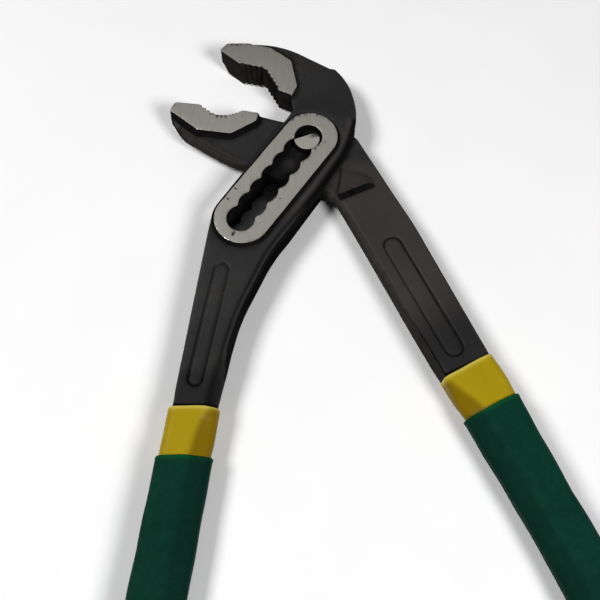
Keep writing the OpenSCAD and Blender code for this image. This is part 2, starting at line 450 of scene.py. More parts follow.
def black_scale_and_painted_shade():
    """Dull black scale on the forgings' sides and inside the box, also laid on bands of the top faces as painted shade;
    a lighter mix on walls is painted light.
    """
    m = Nodes("black_scale_and_painted_shade")
    v = m.coords()
    mottle, grain = m.noise(v, 380, 4, 0.6), m.noise(v, 2200, 2)
    colour = m.ramp(mottle, [(0.3, (0.0052, 0.0052, 0.0055)), (0.7, (0.0112, 0.0107, 0.0104))])
    # Painted light: mixes in a lighter grey on walls and roundings so that they look lit like the tops.
    colour = m.mix(m.layer("painted_wall_light"), colour, m.ramp(mottle, [(0.3, (0.0290, 0.0266, 0.0257)), (0.7, (0.0420, 0.0378, 0.0360))]))
    rough = m.span(mottle, 0.2, 0.8, 0.62, 0.82)
    m.bump((mottle, 0.3, 0.00015), (grain, 0.25, 0.00006))
    return m.put(Base_Color=colour, Roughness=rough, Metallic=0.0, Specular_IOR_Level=0.0)


def ground_steel(name, bright, turn):
    m = Nodes(name)
    v = m.coords()
    streak = m.noise(m.coords((5200, 150, 150), turn), 1.0, 3, 0.65)
    wide = m.noise(m.coords((900, 60, 60), turn), 1.0, 2)
    patch = m.noise(v, 140, 3)
    lo, hi = tuple(0.80 * c for c in bright), tuple(1.12 * c for c in bright)
    colour = m.ramp(streak, [(0.25, lo), (0.75, hi)])
    colour = m.mix(m.span(wide, 0.3, 0.7, 0.0, 0.35), colour, tuple(0.86 * c for c in bright))
    colour = m.mix(m.span(patch, 0.4, 0.7, 0.0, 0.25), colour, (bright[0] * 0.92, bright[1] * 0.87, bright[2] * 0.80))
    fleck = m.span(m.noise(v, 1100, 1, 0.4), 0.74, 0.80, 0.0, 0.6)
    colour = m.mix(fleck, colour, (0.10, 0.085, 0.07))
    colour = m.mix(m.layer("pit"), colour, (0.018, 0.013, 0.011))
    rough = m.span(streak, 0.2, 0.8, 0.30, 0.42)
    m.bump((streak, 0.16, 0.00004), (patch, 0.15, 0.0002))
    return m.put(Base_Color=colour, Roughness=rough, Metallic=1.0)


def yellow_vinyl():
    m = Nodes("yellow_vinyl")
    v = m.coords()
    broad, fine = m.noise(v, 90, 3), m.noise(v, 900, 2)
    colour = m.ramp(broad, [(0.3, (0.338, 0.236, 0.0050)), (0.7, (0.385, 0.280, 0.0085))])
    # Painted highlight: lighter yellow along the rolled lip.
    colour = m.mix(m.math("MULTIPLY", m.layer("painted_lip_highlight"), 0.9), colour, (0.66, 0.56, 0.10))
    # Painted shade: deeper orange on the inner shoulder's slope.
    colour = m.mix(m.math("MULTIPLY", m.layer("painted_slope_shade"), 0.8), colour, (0.165, 0.096, 0.0010))
    rough = m.span(fine, 0.3, 0.7, 0.28, 0.40)
    m.bump((broad, 0.18, 0.0006), (fine, 0.05, 0.0001))
    return m.put(Base_Color=colour, Roughness=rough, Specular_IOR_Level=0.05)


def green_vinyl():
    m = Nodes("green_vinyl")
    v = m.coords()
    broad, cloud = m.noise(v, 60, 4, 0.6), m.noise(v, 330, 3, 0.6)
    pebble = m.add("ShaderNodeTexVoronoi", feature="SMOOTH_F1")
    pebble.inputs["Scale"].default_value = 1500
    m.link(v, pebble.inputs["Vector"])
    colour = m.ramp(broad, [(0.3, (0.0011, 0.0270, 0.0160)), (0.55, (0.0013, 0.0350, 0.0205)), (0.75, (0.0016, 0.0430, 0.0245))])
    colour = m.mix(m.span(cloud, 0.45, 0.75, 0.0, 0.4), colour, (0.0008, 0.018, 0.0115))
    # Painted highlight: lighter green along the rolled lip.
    colour = m.mix(m.math("MULTIPLY", m.layer("painted_lip_highlight"), 0.85), colour, (0.0006, 0.094, 0.019))
    # Painted shade: darker green on the inner shoulder's slope.
    colour = m.mix(m.math("MULTIPLY", m.layer("painted_slope_shade"), 0.6), colour, (0.0007, 0.0165, 0.0105))
    rough = m.span(cloud, 0.3, 0.7, 0.62, 0.80)
    m.bump((broad, 0.3, 0.0006), (pebble.outputs["Distance"], 0.55, 0.00022), (cloud, 0.25, 0.0003))
    return m.put(Base_Color=colour, Roughness=rough, Specular_IOR_Level=0.06)


BLACK = black_steel()
SCALE_AND_SHADE = black_scale_and_painted_shade()
SILVER = ground_steel("ground_steel", (0.66, 0.628, 0.575), 0.0)
PIN_END = ground_steel("ground_pin", (0.78, 0.745, 0.69), 0.9)
YELLOW = yellow_vinyl()
GREEN = green_vinyl()

# ---------------------------------------------------------------------------
# Arm with the box
slotted_pts = (
    [[-32.2, 38.4, 0.8], [-29.5, 41.4, 2], [-10, 41.9, 30], [8.0, 30.9, 1.2], [9.9, 30.6, 1.4], [14.8, 24.5, 25], [17.8, 10.5, 30], [13.9, -4.6, 40]]
    + [[4.3, -20.6, 60], [-7.2, -37.3, 50], [-12.15, -43.55, 50], [-22.2, -65.4, 60]]
    + [[*along(LEFT_P, LEFT_A, -2, LEFT_W / 2), 15], [*along(LEFT_P, LEFT_A, TANG_L, LEFT_W / 2), 3], [*along(LEFT_P, LEFT_A, TANG_L, -LEFT_W / 2), 3]]
    + [[*along(LEFT_P, LEFT_A, 4, -LEFT_W / 2), 4], [*along(LEFT_P, LEFT_A, 1.6, -5.95), 4], [*along(LEFT_P, LEFT_A, -4, -6.2), 30], [-31.9, -27.6, 12], [-7.6, 8.1, 3], [-5.2, 12.5, 2], [-6.2, 18.2, 0.6], [-10.5, 20.4, 0.4]]
    + teeth((-10.9, 20.95), (-15.6, 29.75), 5, 0.85, 1.75)
    + [[-15.75, 30.05, 0.2]]
    + teeth((-15.9, 30.06), (-23.8, 31.55), 4, 0.8, 1.8)
    + [[-24.0, 31.6, 0.3]]
)


def slot_loop():
    """Outline of the notched slot, with the tips between notches blunted."""
    cut = math.acos(PITCH / 2 / NOTCH_R) + math.radians(5)
    a0 = math.atan2(SLOT_U[1], SLOT_U[0])
    out = []

    def arc(i, f, t):
        k = max(6, math.ceil(abs(t - f) * NOTCH_R / 0.3))
        c = i * PITCH * SLOT_U
        out.extend(c + NOTCH_R * np.array([math.cos(a0 + f + (t - f) * j / k), math.sin(a0 + f + (t - f) * j / k)]) for j in range(k + 1))

    for i in range(NOTCHES):
        arc(i, math.pi if i == 0 else math.pi - cut, 0 if i == NOTCHES - 1 else cut)
    for i in reversed(range(NOTCHES)):
        arc(i, 0 if i == NOTCHES - 1 else -cut, -math.pi if i == 0 else -(math.pi - cut))
    return np.array(out)


BOSS_P = BOSS_SHIFT * SLOT_V - BOSS_RISE * SLOT_U
BOSS_Q = BOSS_P + TRAVEL * SLOT_U
UPPER_PAD = rounded([[-36, 36, 0], [-32, 44, 0], [-24, 44, 0], [-20.5, 40.9, 1.5], [-13.7, 39.4, 1.5], [-6.2, 33.6, 2.2], [-4.0, 22.4, 1.6], [-6.4, 17, 0], [-12, 17, 0], [-18, 28, 0], [-26, 30, 0]])
L_PANEL = ((-28.1, -50.2), (-34.75, -86.5), 2.3)
R_PANEL = ((27.6, -40.5), (44.5, -76.2), 3.0)
PITS = [(-24.3, -20.6, 0.36, 0.2), (-26.8, -24.6, 0.32, 0.16), (-24.7, -37.7, 0.42, 0.22), (-24.2, -37.1, 0.30, 0.16), (-24.9, -38.2, 0.28, 0.14), (2.4, -4.9, 0.28, 0.14), (-4.5, -25.5, 0.22, 0.1), (-9.5, -24.6, 0.2, 0.1), (5.8, -2.2, 0.2, 0.1)]


def panel_cut(e):
    """Depth of a recessed panel at distance e outside its edge: a low floor inside a slightly deeper rim."""
    return 0.30 * smooth(0.5 - e / 0.9) + 0.34 * np.exp(-(((e + 0.1) / 0.45) ** 2))


def panel_shade_weight(xy):
    """How strongly the right panel's outline is painted in shade at a place: dark on its outer side and upper end,
    faint on its inner side and lower end.
    """
    q, w = handle_coords(xy, np.array(R_PANEL[0]), RIGHT_A)
    return np.maximum(smooth((w + 0.8) / 1.6), smooth((0.5 - q) / 1.5)) * (1 - 0.6 * smooth((q - 37) / 3))


def pits(xy):
    deep, dark = np.zeros(len(xy)), np.zeros(len(xy))
    for x, y, r, d in PITS:
        g = np.exp(-((xy[:, 0] - x) ** 2 + (xy[:, 1] - y) ** 2) / (r * r))
        deep += d * g
        dark = np.maximum(dark, np.clip(1.5 * g, 0, 1))
    return deep, dark


def slotted_arm():
    outline = resample(rounded(slotted_pts), 2.0)
    wide, deep = spread_along(
        outline,
        [(-32.2, 38.4, 0.06, 0.03), (-29.6, 41.4, 0.10, 0.06), (-23, 41.6, 0.2, 0.2), (-16, 41.9, 1.2, 0.9), (-2, 37.7, 1.5, 1.2), (9, 31, 1.3, 1.0), (16.6, 14, 1.6, 1.3)]
        + [(14.5, -1.5, 2.4, 1.7), (4, -20, 2.8, 1.9), (-7, -37, 1.0, 0.6), (-13, -46, 0.5, 0.3), (-23, -66, 0.45, 0.3), (-27.7, -90, 0.35, 0.3)]
        + [(*along(LEFT_P, LEFT_A, 2, LEFT_W / 2), 0.9, 0.8), (*along(LEFT_P, LEFT_A, 6, LEFT_W / 2), 1.3, 1.1), (*along(LEFT_P, LEFT_A, TANG_L, LEFT_W / 2), 1.3, 1.1), (*along(LEFT_P, LEFT_A, TANG_L, -LEFT_W / 2), 2.4, 2.4)]
        + [(*along(LEFT_P, LEFT_A, 6, -LEFT_W / 2), 2.4, 2.4), (*along(LEFT_P, LEFT_A, 2, -LEFT_W / 2), 0.9, 0.8), (-34, -40, 0.7, 0.7), (-32, -28, 0.7, 0.7), (-9, 6, 0.6, 0.6)]
        + [(-5.3, 13, 0.8, 0.8), (-6.2, 17.8, 0.4, 0.4), (-10.2, 20.7, 0.06, 0.03), (-15.4, 30.5, 0.06, 0.03), (-23.9, 32.1, 0.06, 0.03)],
    )
    draft = spread_along(
        outline,
        [(17.3, 8, 0.0), (13.9, -4.6, 0.35), (4.3, -20.6, 0.6), (-7.2, -37.3, 0.6), (-12.15, -43.55, 0.35), (-17.6, -56, 0.22), (-20.8, -63, 0.25), (-23.4, -71, 0.45), (-25, -75.5, 0.8)]
        + [(-25.9, -79, 0.55), (-26.6, -82.5, 0.1), (-27.1, -85, 0.0), (-32.2, 38.4, 0.0)],
    )[0]
    first, last = (int(((outline - np.array(q)) ** 2).sum(1).argmin()) for q in ((17.3, 8), along(LEFT_P, LEFT_A, 1.0, LEFT_W / 2)))
    slot = slot_loop()
    fine = resample(outline, 0.55)
    extra = []
    d, edge, t = measure(fine, outline)
    reach = wide[edge] * (1 - t) + wide[(edge + 1) % len(wide)] * t
    wall = draft[edge] * (1 - t) + draft[(edge + 1) % len(wide)] * t
    inward = normals(fine)
    for s in (0.04, 0.15, 0.36, 0.66, 1.0):
        ring = fine + inward * (wall + reach * s)[:, None]
        dd, _, _ = measure(ring, outline)
        extra += [tuple(p) for p in ring[dd > 0.8 * (wall + s * reach)]]
    inner_side = (edge >= first) & (edge <= last)
    for s in (0.5, 0.98, 1.02):
        extra += [tuple(p) for p in (fine + inward * (wall * s)[:, None])[wall > 0.15]]
    for s in (0.5, 0.8, 1.1, 1.4, 1.7, 2.0, 2.4, 2.9, 3.5, 4.2):
        ring = (fine + inward * (wall + s)[:, None])[inner_side]
        dd, _, _ = measure(ring, outline)
        extra += [tuple(p) for p in ring[dd > 0.8 * (wall[inner_side] + s)]]
    for e in (-1.3, -0.9, -0.6, -0.3, 0.0, 0.3):
        extra += [tuple(along(LEFT_P, LEFT_A, 0.9 - 0.139 * q + e, q)) for q in np.arange(-5.6, 6.6, 0.6)]
    loops = [fine, slot] + [capsule_loop(BOSS_P, BOSS_Q, BOSS_R + e) for e in (-0.14, 0.0, 0.14, 0.3, 0.48, 0.7, 1.0, 1.4)]
    ns = normals(slot)
    ns = ns if measure(slot[:1] + ns[:1] * 0.1, slot)[0][0] < 0 else -ns
    loops.append(slot + ns * 0.16)
    pad = resample(UPPER_PAD, 0.6)
    npad = normals(pad)
    npad = npad if np.median(measure(pad + npad * 0.05, UPPER_PAD)[0]) < 0 else -npad
    loops += [pad, pad - npad * 0.14]
    for e in (0.14, 0.32, 0.6):
        extra += [tuple(p) for p in pad + npad * e]
    for e in (-1.6, -0.9, -0.42, -0.12, 0.18, 0.45, 0.8):
        extra += [tuple(p) for p in capsule_loop(L_PANEL[0], L_PANEL[1], L_PANEL[2] + e)]
    for x, y, r, _ in PITS:
        extra += [(x + r * q * math.cos(i * 0.785), y + r * q * math.sin(i * 0.785)) for q in (0.0, 0.4, 0.8, 1.3, 1.9) for i in range(8 if q else 1)]
    lines = [np.column_stack([np.linspace(-12, 24, 40), np.full(40, 13.0)])]
    lines.append(np.array([63.5 * SLOT_U + n * SLOT_V for n in np.linspace(-30, 30, 60)]))
    grid = hexagons((-56, -206), (20, 44), 1.7)
    grid = grid[measure(grid, outline)[0] > 0.6]
    keep = [tuple(p) for p in thin(extra, 0.11)]
    taken = np.array(keep + [tuple(p) for loop in loops for p in loop])
    near = np.array([np.min((taken[:, 0] - p[0]) ** 2 + (taken[:, 1] - p[1]) ** 2) for p in grid])
    keep += [tuple(p) for p in grid[near > 0.6]]
    xy, tri = triangulate(loops, lines, keep)
    mid = xy[tri].mean(1)
    inside = (measure(mid, outline)[0] > 0) & (measure(mid, slot)[0] < 0)
    tri, mid = tri[inside], mid[inside]

    d, edge, t = measure(xy, outline)
    d = np.maximum(d, 0)
    rw = wide[edge] * (1 - t) + wide[(edge + 1) % len(wide)] * t
    rd = deep[edge] * (1 - t) + deep[(edge + 1) % len(wide)] * t
    wall = draft[edge] * (1 - t) + draft[(edge + 1) % len(wide)] * t
    inner_side = (edge >= first) & (edge <= last)
    y = xy[:, 1]
    base = CHEEK + (UPPER - CHEEK) * smooth((y - 7) / 12) + (TANG_T / 2 - CHEEK) * smooth((-44 - y) / 48)
    e_boss = capsule(xy, BOSS_P, BOSS_Q, BOSS_R)
    e_pad = -measure(xy, UPPER_PAD)[0]
    k, m = handle_coords(xy, LEFT_P, LEFT_A)
    black = base + uneven(xy) * smooth((e_boss - 0.5) / 2) * smooth((e_pad - 0.4) / 2)
    black -= 0.55 * np.exp(-(((e_boss - 0.8) / 0.75) ** 2)) * (e_boss > -0.2)
    gap = np.where(k < 1.5, np.where(m > 0, d, 99.0), LEFT_W / 2 - m)
    black -= np.where(y < -40, inner_slope(k, gap, LEFT_W / 2, LEFT_RIDGE), 0)
    black -= panel_cut(capsule(xy, *L_PANEL)) * (y < -40)
    z = black + (TOP - black) * step_down(e_boss, 0.6) + np.maximum(PAD - black, 0) * step_down(e_pad, 0.65)
    z -= 0.05 * np.clip(1 + e_boss / 0.14, 0, 1) * (e_boss <= 0) + 0.015 * np.clip(1 + e_pad / 0.14, 0, 1) * (e_pad <= 0)
    e_slot = -measure(xy, slot)[0]
    z -= 0.06 * np.clip(1 - e_slot / 0.16, 0, 1)
    hole, dark = pits(xy)
    z -= hole * (e_boss < 0)
    line_at = np.where(k < -21, wall + 1.25, np.interp(k, [-21, -19, -14.5, -11, -8.5, -4.7, -0.5, 1], [1.95, 2.05, 2.2, 2.6, 2.75, 2.8, 2.5, 2.4]))
    line_wide = np.interp(k, [-16, -8], [0.6, 0.85])
    boxed = smooth((y + 36) / 12)
    line = inner_side * np.exp(-(((d - line_at) / line_wide) ** 2)) * (1 - boxed)
    z -= 0.15 * line * (k < -12)
    z = np.maximum(z - edge_drop(np.maximum(d - wall, 0), rw, rd) - 2.2 * np.maximum(wall - d, 0), 0.25)
    nose = smooth((-29.2 - xy[:, 0]) / 2.5)
    jaw = smooth((-8 - xy[:, 0]) / 4) * smooth((y - 19) / 3)
    low = np.maximum(z + 0.6 * jaw * (z > UPPER) - nose * edge_drop(d, 3.2, 4.2), 0.25)

    window = (mid[:, 1] < 13) & (mid @ SLOT_U < 63.5)
    ground = (capsule(mid, BOSS_P, BOSS_Q, BOSS_R) < 0) | (measure(mid, UPPER_PAD)[0] > 0)
    ground &= measure(mid, slot)[0] < -0.02
    ground = ground.astype(int)
    by_boss, by_pad = capsule(mid, BOSS_P, BOSS_Q, BOSS_R), -measure(mid, UPPER_PAD)[0]
    # Painted shade: the scale material on the groove round the boss and on the step round the upper pad.
    ground[((by_boss > 0) & (by_boss < 0.85)) | ((by_pad > 0) & (by_pad < 0.45) & (mid[:, 0] > -21))] = 2
    ground[(d[tri].mean(1) < wall[tri].mean(1)) & (wall[tri].mean(1) > 0.15) & (ground == 0)] = 2
    # Painted shade: the scale material along the upper pad's toothed edge.
    ground[(ground == 1) & (d[tri].mean(1) < 0.28) & (mid[:, 1] < 37) & (mid[:, 1] > 17)] = 2
    band = k - 0.9 + 0.139 * m
    layers = {
        # Painted light on the upper jaw's teeth walls and on the left arm's inner wall near the sleeve.
        "painted_wall_light": 0.38 * smooth((-3 - xy[:, 0]) / 2) * smooth((y - 17) / 2) + 0.65 * smooth((k + 11.5) / 3) * (m > 0) * (d < 0.3),
        # Painted highlight on the rounded band of the box's right cheek.
        "painted_light": inner_side * boxed * np.exp(-(((d - wall - 2.5) / 0.9) ** 2)),
        # Lighter outer edges and rims of the boss and pad: partly wear, partly painted highlight.
        "edge": np.clip(1 - d / 1.3, 0, 1) * ~inner_side + 0.8 * np.clip(1 - np.abs(e_boss) / 0.2, 0, 1) + 0.8 * np.clip(1 - np.abs(e_pad) / 0.2, 0, 1) * smooth((d - 0.3) / 0.4),
        # Painted shade round the boss and upper pad, in the panel outline, along the inner edge's line, beside the box
        # and in a line above the sleeve; two broad terms only darken the left arm towards its sleeve.
        "painted_shade": np.clip(
            np.exp(-(((e_boss - 0.6) / 0.55) ** 2))
            + np.exp(-(((e_pad - 0.4) / 0.4) ** 2))
            + 0.48 * np.exp(-(((capsule(xy, *L_PANEL) + 0.1) / 0.5) ** 2))
            + 0.2 * smooth((-62 - y) / 12)
            + 0.30 * smooth((k + 13) / 6)
            + np.interp(k, [-40, -28, -20, -14.5, -11, -8, 0], [0.75, 0.65, 0.56, 0.57, 0.5, 0.32, 0.33]) * line
            + (0.43 - 0.26 * smooth((k + 13) / 6)) * inner_side * smooth((line_at - d) / 1.0) * smooth((k + 17.5) / 4)
            + 0.95 * inner_side * boxed * smooth((2.0 - (d - wall)) / 1.4)
            + 0.7 * smooth((band + 0.8) / 0.5),
            0,
            1,
        ),
        "pit": dark * (e_boss < 0),
    }
    # The outer edge's rounding stops above the window, so that the box stays open on its left side.
    cheek = np.zeros(len(xy), bool)
    cheek[tri[window].ravel()] = True
    floor = np.where(cheek & ~inner_side, WINDOW + 0.25, 0.25)
    z, low = np.maximum(z, floor), np.maximum(low, floor)
    return forging("slotted_arm_forging", xy, tri, z, low, window, WINDOW, ground, [BLACK, SILVER, SCALE_AND_SHADE], layers)


# ---------------------------------------------------------------------------
# Arm through the box
inner_pts = (
    [[-48.6, 12.4, 1], [-47.2, 15.4, 1.2], [-38.3, 14.4, 1.6]]
    + teeth((-37.7, 13.95), (-33.4, 10.55), 3, 0.6, 1.3)
    + [[-32.6, 9.9, 0.8], [-29.4, 9.6, 1.5]]
    + teeth((-29.0, 9.75), (-24.3, 11.25), 4, 0.42, 1.0)
    + [[-23, 11.8, 2.0], [-16.5, 10.6, 2], [-8.2, 8.3, 4], [-1, 11.2, 8], [8.5, 9.5, 5], [17.2, 1.2, 2], [35.0, -32.4, 150]]
    + [[*along(RIGHT_P, RIGHT_A, 1, 7.9), 40], [*along(RIGHT_P, RIGHT_A, 30, 7.6), 20], [*along(RIGHT_P, RIGHT_A, 46, 7.1), 20], [*along(RIGHT_P, RIGHT_A, TANG_L, 7.1), 3], [*along(RIGHT_P, RIGHT_A, TANG_L, -6.3), 3]]
    + [[*along(RIGHT_P, RIGHT_A, 40, -6.3), 20], [*along(RIGHT_P, RIGHT_A, 14, -6.8), 20], [*along(RIGHT_P, RIGHT_A, 1, -7.9), 20]]
    + [[8.7, -21.8, 3.5], [2.5, -20.3, 4], [-30, -6.0, 20], [-43.9, 2.9, 10], [-48.7, 10.2, 2]]
)
LOWER_PAD = rounded([[-51, 13.6, 0], [-38.5, 3.65, 2.5], [-26.9, 2.05, 2.2], [-18.2, 7.4, 1.6], [-17.4, 12, 0], [-17.4, 20, 0], [-51, 20, 0]])
STOP = np.array([[12.2, -7.4], [10.05, -22.2], [22.55, -16.5]])
STOP_Z = (TONGUE - 0.15, 5.1, 4.5)


def inner_arm():
    outline = resample(rounded(inner_pts), 2.0)
    wide, deep = spread_along(
        outline,
        [(-48.6, 12.4, 0.4, 0.4), (-47.2, 15.4, 0.25, 0.25), (-38.3, 14.4, 0.2, 0.2), (-32.6, 9.9, 0.16, 0.16), (-23, 11.8, 0.2, 0.2), (-18, 10.9, 0.3, 0.3), (-12, 9.4, 0.7, 0.6)]
        + [(0, 11, 0.7, 0.6), (17.2, 1.2, 0.8, 0.7), (30, -23, 0.9, 0.8), (48, -61, 1.0, 1.0), (*along(RIGHT_P, RIGHT_A, 2, RIGHT_W / 2), 1.0, 0.9)]
        + [(*along(RIGHT_P, RIGHT_A, 6, RIGHT_W / 2), 2.4, 2.4), (*along(RIGHT_P, RIGHT_A, TANG_L, RIGHT_W / 2), 2.4, 2.4), (*along(RIGHT_P, RIGHT_A, TANG_L, -RIGHT_W / 2), 1.3, 1.1)]
        + [(*along(RIGHT_P, RIGHT_A, 6, -RIGHT_W / 2), 1.3, 1.1), (*along(RIGHT_P, RIGHT_A, 1, -RIGHT_W / 2), 0.4, 0.35), (*along(RIGHT_P, RIGHT_A, -16, -RIGHT_W / 2), 0.5, 0.4), (*along(RIGHT_P, RIGHT_A, -26, -RIGHT_W / 2), 1.2, 0.9), (20, -43, 2.2, 1.5), (13, -28, 2.2, 1.8), (8, -22.5, 2.0, 1.6), (4, -21.0, 1.6, 1.2), (0, -19.6, 0.9, 0.7)]
        + [(-10, -14.4, 0.7, 0.6), (-29, -5.4, 2.0, 1.5), (-42, 3, 2.2, 1.6), (-48, 10, 0.8, 0.8)],
    )
    fine = resample(outline, 0.55)
    extra = []
    d, edge, t = measure(fine, outline)
    reach = wide[edge] * (1 - t) + wide[(edge + 1) % len(wide)] * t
    inward = normals(fine)
    for s in (0.04, 0.15, 0.36, 0.66, 1.0):
        ring = fine + inward * (reach * s)[:, None]
        dd, _, _ = measure(ring, outline)
        extra += [tuple(p) for p in ring[dd > 0.8 * s * reach]]
    k, m = handle_coords(fine, RIGHT_P, RIGHT_A)
    for s in (0.2, 0.35, 0.55, 0.8, 1.1, 1.5):
        extra += [tuple(p) for p in (fine + inward * s)[(k > -40) & (k < 1) & (m < 0)]]
    for e in (-1.2, -0.8, -0.5, -0.2, 0.1):
        extra += [tuple(along(RIGHT_P, RIGHT_A, e, q)) for q in np.arange(-7.4, 7.6, 0.6)]
    box = rounded(slotted_pts)
    turn = np.linspace(0, 2 * math.pi, 96, endpoint=False)
    bore = 4.55 * np.column_stack([np.cos(turn), np.sin(turn)])
    pad = resample(LOWER_PAD, 0.6)
    npad = normals(pad)
    npad = npad if np.median(measure(pad + npad * 0.05, LOWER_PAD)[0]) < 0 else -npad
    loops = [fine, bore, bore * 1.04, pad, pad - npad * 0.16]
    for e in (0.14, 0.3, 0.5, 0.78, 1.2, 1.7):
        extra += [tuple(p) for p in pad + npad * e]
    stop = resample(rounded([[*p, 0.5] for p in STOP], 0.2), 0.5)
    nstop = normals(stop)
    nstop = nstop if np.median(measure(stop + nstop * 0.05, stop)[0]) < 0 else -nstop
    loops += [stop, stop - nstop * 0.2]
    for e in (0.12, 0.3, 0.5, 0.75, 1.0, 1.3, 1.7):
        extra += [tuple(p) for p in stop + nstop * e]
    for e in (-1.8, -0.9, -0.42, -0.12, 0.18, 0.45, 0.8):
        extra += [tuple(p) for p in capsule_loop(R_PANEL[0], R_PANEL[1], R_PANEL[2] + e)]
    grid = hexagons((-50, -185), (106, 17), 1.7)
    grid = grid[(measure(grid, outline)[0] > 0.6) & (np.linalg.norm(grid, axis=1) > 5)]
    keep = [tuple(p) for p in thin(extra, 0.11)]
    taken = np.array(keep + [tuple(p) for loop in loops for p in loop])
    near = np.array([np.min((taken[:, 0] - p[0]) ** 2 + (taken[:, 1] - p[1]) ** 2) for p in grid])
    keep += [tuple(p) for p in grid[near > 0.6]]
    xy, tri = triangulate(loops, [], keep)
    mid = xy[tri].mean(1)
    inside = (measure(mid, outline)[0] > 0) & (np.linalg.norm(mid, axis=1) > 4.54)
    tri, mid = tri[inside], mid[inside]

    d, edge, t = measure(xy, outline)
    d = np.maximum(d, 0)
    rw = wide[edge] * (1 - t) + wide[(edge + 1) % len(wide)] * t
    rd = deep[edge] * (1 - t) + deep[(edge + 1) % len(wide)] * t
    k, m = handle_coords(xy, np.zeros(2), RIGHT_A)
    base = np.interp(k, [36, 92], [TONGUE, TANG_T / 2])
    k, m = handle_coords(xy, RIGHT_P, RIGHT_A)
    e_pad = -measure(xy, LOWER_PAD)[0]
    e_stop = -measure(xy, stop)[0]
    away = smooth((np.linalg.norm(xy, axis=1) - 24) / 8)
    black = base + (uneven(xy) - 0.02) * away * smooth((e_pad - 0.4) / 2)
    gap = np.where(k < 1.0, np.where(m < 0, d, 99.0), np.interp(k, [2, 14, 40], [7.7, 6.8, 6.3]) + m)
    black -= np.where(k > -46, inner_slope(k, gap, RIGHT_W / 2, RIGHT_RIDGE), 0)
    black -= panel_cut(capsule(xy, *R_PANEL)) * (xy[:, 1] < -30)
    plane = np.linalg.solve(np.column_stack([STOP, np.ones(3)]), np.array(STOP_Z))
    brow = np.array([20.7, -13.2]) - np.array([11.9, -10.4])
    past_brow = (xy - [11.9, -10.4]) @ np.array([brow[1], -brow[0]]) / np.linalg.norm(brow)
    rise = np.minimum(np.minimum(xy @ plane[:2] + plane[2], 5.1), TONGUE - 0.05 + 0.38 * past_brow)
    front = np.array([STOP[1][1] - STOP[2][1], STOP[2][0] - STOP[1][0]]) / np.linalg.norm(STOP[2] - STOP[1])
    below = -(xy - STOP[1]) @ front
    along_bar = (xy - STOP[1]) @ (STOP[2] - STOP[1]) / ((STOP[2] - STOP[1]) @ (STOP[2] - STOP[1]))
    rise = np.minimum(rise, TONGUE - 0.05 + 8.5 * (1.01 - along_bar))
    at_bar = smooth((along_bar + 0.06) / 0.08) * smooth((1.03 - along_bar) / 0.14)
    groove = 0.55 * np.exp(-(((below - 1.05) / 0.5) ** 2)) * at_bar
    z = black + np.maximum(PAD - black, 0) * step_down(e_pad, 0.75) + np.maximum(rise - black, 0) * np.clip(1 - np.maximum(e_stop, 0) / np.where(below > 0, 0.95, 0.55), 0, 1) ** 1.6
    z -= groove
    z -= 0.05 * np.clip(1 + e_pad / 0.16, 0, 1) * (e_pad <= 0) + 0.12 * np.clip(1 + e_stop / 0.2, 0, 1) * (e_stop <= 0) * (rise > black)
    z = np.maximum(z - edge_drop(d, rw, rd), 0.25)
    nose = smooth((-46 - xy[:, 0]) / 2)
    low = np.maximum(z - nose * edge_drop(d, 2.5, 1.5), 0.25)
    # Painted light on the right arm's walls and roundings and on the lower jaw's walls, stronger towards the lower
    # jaw's edge; it is taken away beside the box and along the inner edge's dark line.
    side = np.maximum(smooth((xy[:, 0] - 4) / 4) * (xy[:, 1] < -8), (0.53 + 0.4 * smooth(1 - d / np.maximum(0.6 * rw, 0.2))) * smooth((-18 - xy[:, 0]) / 4) * smooth((xy[:, 0] + 46.5) / 3) * (e_pad > 1.0))
    side *= ((e_stop > 1.6) | (d < 1.0)) * (1 - 0.85 * smooth((0.9 - np.abs(capsule(xy, *R_PANEL))) / 0.3))
    ground = (measure(mid, LOWER_PAD)[0] > 0).astype(int)
    by_pad, by_stop = -measure(mid, LOWER_PAD)[0], -measure(mid, stop)[0]
    bar_at = (mid - STOP[1]) @ (STOP[2] - STOP[1]) / ((STOP[2] - STOP[1]) @ (STOP[2] - STOP[1]))
    bar_below = -(mid - STOP[1]) @ front
    tri_side, tri_d, tri_rw = side[tri].mean(1), d[tri].mean(1), rw[tri].mean(1)
    # Painted shade: the scale material on the lower pad's step, the right panel's outline, the dark bar under the pinch
    # stop, the steep part of the roundings that carry the painted wall light, and the tongue under the box's cheeks.
    ground[(by_pad > 0) & (by_pad < 0.8)] = 2
    ground[(np.abs(capsule(mid, *R_PANEL) + 0.12) < 0.27) & (panel_shade_weight(mid) > 0.75)] = 2
    ground[(by_stop > 0) & (bar_below > 1.2 * np.clip((bar_at - 0.86) / 0.16, 0, 1)) & (bar_below < 1.25) & (bar_at > -0.03) & (bar_at < 1.02)] = 2
    ground[(tri_side > np.where(mid[:, 0] > 0, 0.08, 0.2)) & (tri_d < 0.75 * tri_rw) & (ground == 0)] = 2
    ground[(measure(mid, box)[0] > 1.0) & (mid[:, 1] > -30) & (ground == 0)] = 2
    under = -measure(xy, box)[0]
    side *= np.where(xy[:, 0] > 0, 1 - 0.97 * smooth((3.4 - under) / 2.2), 1)
    left_of = np.array([STOP[1][1] - STOP[0][1], STOP[0][0] - STOP[1][0]]) / np.linalg.norm(STOP[1] - STOP[0])
    at_left = smooth(((xy - STOP[1]) @ left_of + 0.3) / 0.3)
    line = np.exp(-(((d - 0.35) / 0.32) ** 2)) * smooth((k + 27) / 14) * (k < 2) * (m < 0)
    side *= 1 - 0.9 * line
    # A painted pool of light on the tongue where light falls in through the slot.
    side = np.maximum(side, 0.6 * np.exp(-(((xy[:, 0] + 5.8) / 2.4) ** 2) - ((xy[:, 1] + 9.3) / 2.2) ** 2))
    jaw = smooth((-12 - xy[:, 0]) / 6) * (e_pad > 0.8)
